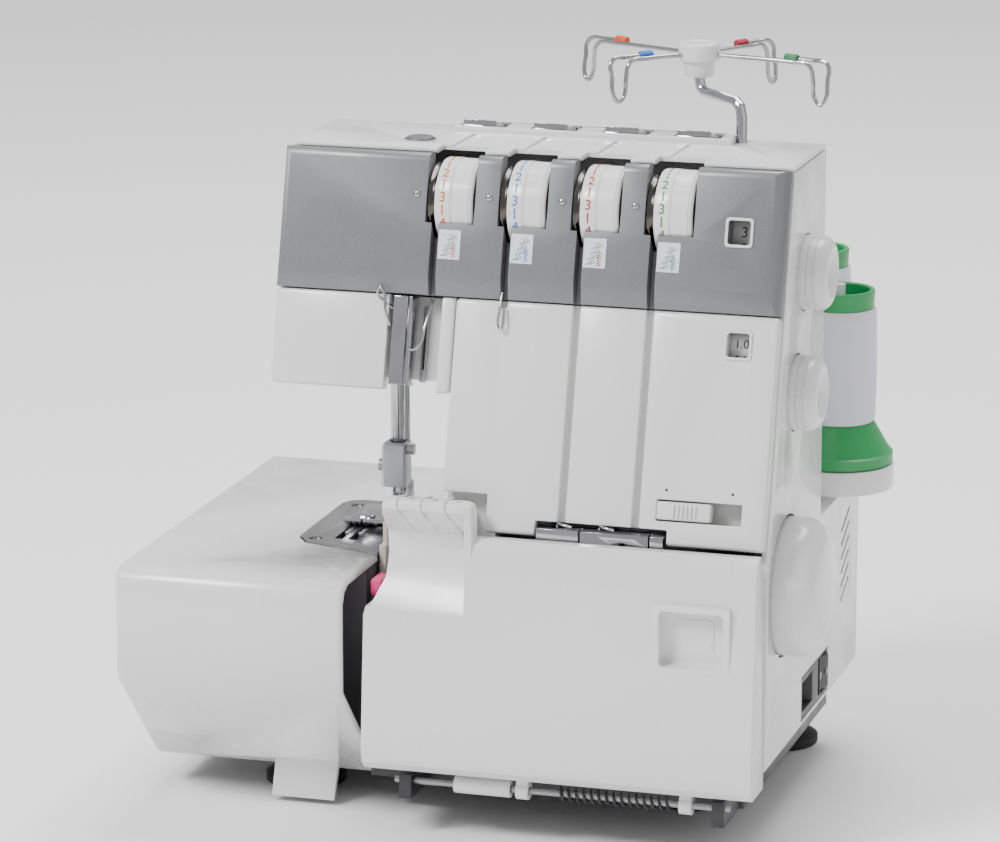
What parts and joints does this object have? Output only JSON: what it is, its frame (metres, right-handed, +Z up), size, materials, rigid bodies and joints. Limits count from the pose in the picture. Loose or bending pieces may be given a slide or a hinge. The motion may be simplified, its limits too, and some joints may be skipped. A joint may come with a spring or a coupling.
{
  "type": "serger overlock machine",
  "caption": "Tabletop serger with leaning front, tension dials, looper and side covers, needle and presser, side knobs, handwheel and a thread stand over cones",
  "frame": {"origin": "on the table under the middle of the overall box", "axes": "+X to the handwheel side, +Y to the back, +Z up, front faces -Y"},
  "size_m": [0.34, 0.278, 0.367],
  "materials": {
    "base_plate": "satin",
    "machine_frame": "cast",
    "rear_casing": "smooth moulded plastic",
    "column_cover": "smooth moulded plastic",
    "face_panel": "metallic grey paint",
    "head_cover": "smooth moulded plastic",
    "top_cover": "smooth moulded plastic",
    "top_guides": "polished",
    "needle_plate": "polished",
    "looper_block": "dark satin",
    "foot_1": "matt",
    "foot_2": "matt",
    "foot_3": "matt",
    "foot_4": "matt",
    "power_inlet": "satin",
    "spool_tray": "smooth moulded plastic",
    "motor": "satin",
    "needle_guard": "polished",
    "tension_discs_1": "polished",
    "tension_discs_2": "polished",
    "tension_discs_3": "polished",
    "tension_discs_4": "polished",
    "looper_guides": "polished",
    "hinge_rod": "ground",
    "drive_belt": "matt",
    "cover_spring": "satin",
    "presser_spring": "ground",
    "thread_cone_1": "smooth",
    "thread_cone_2": "smooth",
    "thread_cone_3": "smooth",
    "thread_cone_4": "smooth",
    "handwheel": "smooth moulded plastic",
    "main_shaft": "ground",
    "motor_pulley": "ground",
    "needle_bar": "polished",
    "needle_clamp": "ground",
    "presser_bar": "polished",
    "presser_foot": "polished",
    "presser_lifter": "satin",
    "tension_dial_1": "smooth moulded plastic",
    "tension_dial_2": "smooth moulded plastic",
    "tension_dial_3": "smooth moulded plastic",
    "tension_dial_4": "smooth moulded plastic",
    "stitch_length_knob": "smooth moulded plastic",
    "stitch_length_drum": "smooth moulded plastic",
    "feed_ratio_knob": "smooth moulded plastic",
    "feed_ratio_drum": "smooth moulded plastic",
    "hem_selector": "smooth moulded plastic",
    "hinge_sleeve": "smooth moulded plastic",
    "front_cover": "smooth moulded plastic",
    "side_cover": "smooth moulded plastic",
    "setting_lever": "smooth",
    "thread_pole": "polished",
    "thread_head": "smooth moulded plastic",
    "power_rocker": "satin",
    "pressure_screw": "dark satin",
    "upper_looper": "ground",
    "lower_looper": "ground",
    "upper_knife": "ground",
    "feed_dog": "ground"
  },
  "bodies": {
    "chassis": {"base_plate": "base_plate", "machine_frame": "machine_frame", "rear_casing": "rear_casing", "column_cover": "column_cover", "face_panel": "face_panel", "head_cover": "head_cover", "top_cover": "top_cover", "top_guides": "top_guides", "needle_plate": "needle_plate", "looper_block": "looper_block", "foot_1": "foot_1", "foot_2": "foot_2", "foot_3": "foot_3", "foot_4": "foot_4", "power_inlet": "power_inlet", "spool_tray": "spool_tray", "motor": "motor", "needle_guard": "needle_guard", "tension_discs_1": "tension_discs_1", "tension_discs_2": "tension_discs_2", "tension_discs_3": "tension_discs_3", "tension_discs_4": "tension_discs_4", "looper_guides": "looper_guides", "hinge_rod": "hinge_rod", "drive_belt": "drive_belt", "cover_spring": "cover_spring", "presser_spring": "presser_spring", "thread_cone_1": "thread_cone_1", "thread_cone_2": "thread_cone_2", "thread_cone_3": "thread_cone_3", "thread_cone_4": "thread_cone_4"},
    "wheel": {"handwheel": "handwheel", "main_shaft": "main_shaft"},
    "motor_rotor": {"motor_pulley": "motor_pulley"},
    "needle_slide": {"needle_bar": "needle_bar", "needle_clamp": "needle_clamp"},
    "presser": {"presser_bar": "presser_bar", "presser_foot": "presser_foot"},
    "lifter": {"presser_lifter": "presser_lifter"},
    "dial_1": {"tension_dial_1": "tension_dial_1"},
    "dial_2": {"tension_dial_2": "tension_dial_2"},
    "dial_3": {"tension_dial_3": "tension_dial_3"},
    "dial_4": {"tension_dial_4": "tension_dial_4"},
    "stitch_knob": {"stitch_length_knob": "stitch_length_knob"},
    "stitch_drum": {"stitch_length_drum": "stitch_length_drum"},
    "feed_knob": {"feed_ratio_knob": "feed_ratio_knob"},
    "feed_drum": {"feed_ratio_drum": "feed_ratio_drum"},
    "selector": {"hem_selector": "hem_selector"},
    "sleeve": {"hinge_sleeve": "hinge_sleeve"},
    "looper_door": {"front_cover": "front_cover"},
    "side_door": {"side_cover": "side_cover"},
    "finger_lever": {"setting_lever": "setting_lever"},
    "stand": {"thread_pole": "thread_pole", "thread_head": "thread_head"},
    "rocker": {"power_rocker": "power_rocker"},
    "screw": {"pressure_screw": "pressure_screw"},
    "looper_a": {"upper_looper": "upper_looper"},
    "looper_b": {"lower_looper": "lower_looper"},
    "knife": {"upper_knife": "upper_knife"},
    "feeder": {"feed_dog": "feed_dog"}
  },
  "joints": [
    {"name": "handwheel_turn", "type": "hinge", "parent": "chassis", "child": "wheel", "pos_m": [0.145, -0.071, 0.1226], "axis": [1, 0, 0], "continuous": true},
    {"name": "motor_turn", "type": "hinge", "parent": "chassis", "child": "motor_rotor", "pos_m": [0.118, 0.045, 0.075], "axis": [1, 0, 0], "continuous": true},
    {"name": "needle_stroke", "type": "slide", "parent": "chassis", "child": "needle_slide", "axis": [0, 0, 1], "range_m": [-0.005, 0.018]},
    {"name": "lifter_turn", "type": "hinge", "parent": "chassis", "child": "lifter", "pos_m": [-0.04, 0.0026, 0.23], "axis": [0, 1, 0], "range_deg": [0, 35]},
    {"name": "presser_lift", "type": "slide", "parent": "chassis", "child": "presser", "axis": [0, 0, 1], "range_m": [0, 0.006], "deforming": ["presser_spring"]},
    {"name": "dial_1_turn", "type": "hinge", "parent": "chassis", "child": "dial_1", "pos_m": [-0.0164, -0.0628, 0.298], "axis": [1, 0, 0], "range_deg": [-90, 180]},
    {"name": "dial_2_turn", "type": "hinge", "parent": "chassis", "child": "dial_2", "pos_m": [0.01935, -0.0628, 0.298], "axis": [1, 0, 0], "range_deg": [-90, 180]},
    {"name": "dial_3_turn", "type": "hinge", "parent": "chassis", "child": "dial_3", "pos_m": [0.0551, -0.0628, 0.298], "axis": [1, 0, 0], "range_deg": [-90, 180]},
    {"name": "dial_4_turn", "type": "hinge", "parent": "chassis", "child": "dial_4", "pos_m": [0.09085, -0.0628, 0.298], "axis": [1, 0, 0], "range_deg": [-90, 180]},
    {"name": "stitch_length_turn", "type": "hinge", "parent": "chassis", "child": "stitch_knob", "pos_m": [0.145, -0.038, 0.268], "axis": [1, 0, 0], "range_deg": [-60, 60]},
    {"name": "stitch_drum_turn", "type": "hinge", "parent": "chassis", "child": "stitch_drum", "pos_m": [0.123, -0.06127, 0.28858], "axis": [1, 0, 0], "range_deg": [-60, 60]},
    {"name": "feed_ratio_turn", "type": "hinge", "parent": "chassis", "child": "feed_knob", "pos_m": [0.145, -0.056, 0.2135], "axis": [1, 0, 0], "range_deg": [-30, 75]},
    {"name": "feed_drum_turn", "type": "hinge", "parent": "chassis", "child": "feed_drum", "pos_m": [0.1255, -0.0748, 0.23808], "axis": [1, 0, 0], "range_deg": [-30, 75]},
    {"name": "selector_slide", "type": "slide", "parent": "chassis", "child": "selector", "axis": [1, 0, 0], "range_m": [0, 0.012]},
    {"name": "cover_shift", "type": "slide", "parent": "chassis", "child": "sleeve", "axis": [1, 0, 0], "range_m": [0, 0.008], "stiffness_N_per_m": 120, "springref_m": -0.004},
    {"name": "cover_turn", "type": "hinge", "parent": "sleeve", "child": "looper_door", "pos_m": [-0.003, -0.125, 0.027], "axis": [1, 0, 0], "range_deg": [0, 80]},
    {"name": "side_cover_turn", "type": "hinge", "parent": "chassis", "child": "side_door", "pos_m": [-0.06, 0.093, 0], "axis": [0, 0, -1], "range_deg": [0, 70]},
    {"name": "lever_slide", "type": "slide", "parent": "chassis", "child": "finger_lever", "axis": [0, 1, 0], "range_m": [0, 0.008]},
    {"name": "pole_slide", "type": "slide", "parent": "chassis", "child": "stand", "axis": [0, 0, 1], "range_m": [0, 0.11]},
    {"name": "rocker_turn", "type": "hinge", "parent": "chassis", "child": "rocker", "pos_m": [0.138, 0.013, 0.055], "axis": [0, 0, 1], "range_deg": [0, 12]},
    {"name": "pressure_turn", "type": "hinge", "parent": "chassis", "child": "screw", "pos_m": [-0.046, -0.0396, 0.312], "axis": [0, 0, 1], "range_deg": [-180, 180]},
    {"name": "upper_looper_turn", "type": "hinge", "parent": "chassis", "child": "looper_a", "pos_m": [-0.0735, -0.027, 0.072], "axis": [0, 1, 0], "range_deg": [-12, 12]},
    {"name": "lower_looper_turn", "type": "hinge", "parent": "chassis", "child": "looper_b", "pos_m": [-0.0765, -0.033, 0.068], "axis": [0, 1, 0], "range_deg": [-12, 12]},
    {"name": "knife_drop", "type": "slide", "parent": "chassis", "child": "knife", "axis": [0, 0, -1], "range_m": [0, 0.008]},
    {"name": "feed_slide", "type": "slide", "parent": "chassis", "child": "feeder", "axis": [0, 1, 0], "range_m": [-0.002, 0.002]}
  ],
  "couplings": [
    {"joint": "motor_turn", "follows": "handwheel_turn", "ratio": 3.75},
    {"joint": "lifter_turn", "follows": "presser_lift", "rad_per_m": 101.81},
    {"joint": "stitch_drum_turn", "follows": "stitch_length_turn", "ratio": 1},
    {"joint": "feed_drum_turn", "follows": "feed_ratio_turn", "ratio": 1}
  ]
}
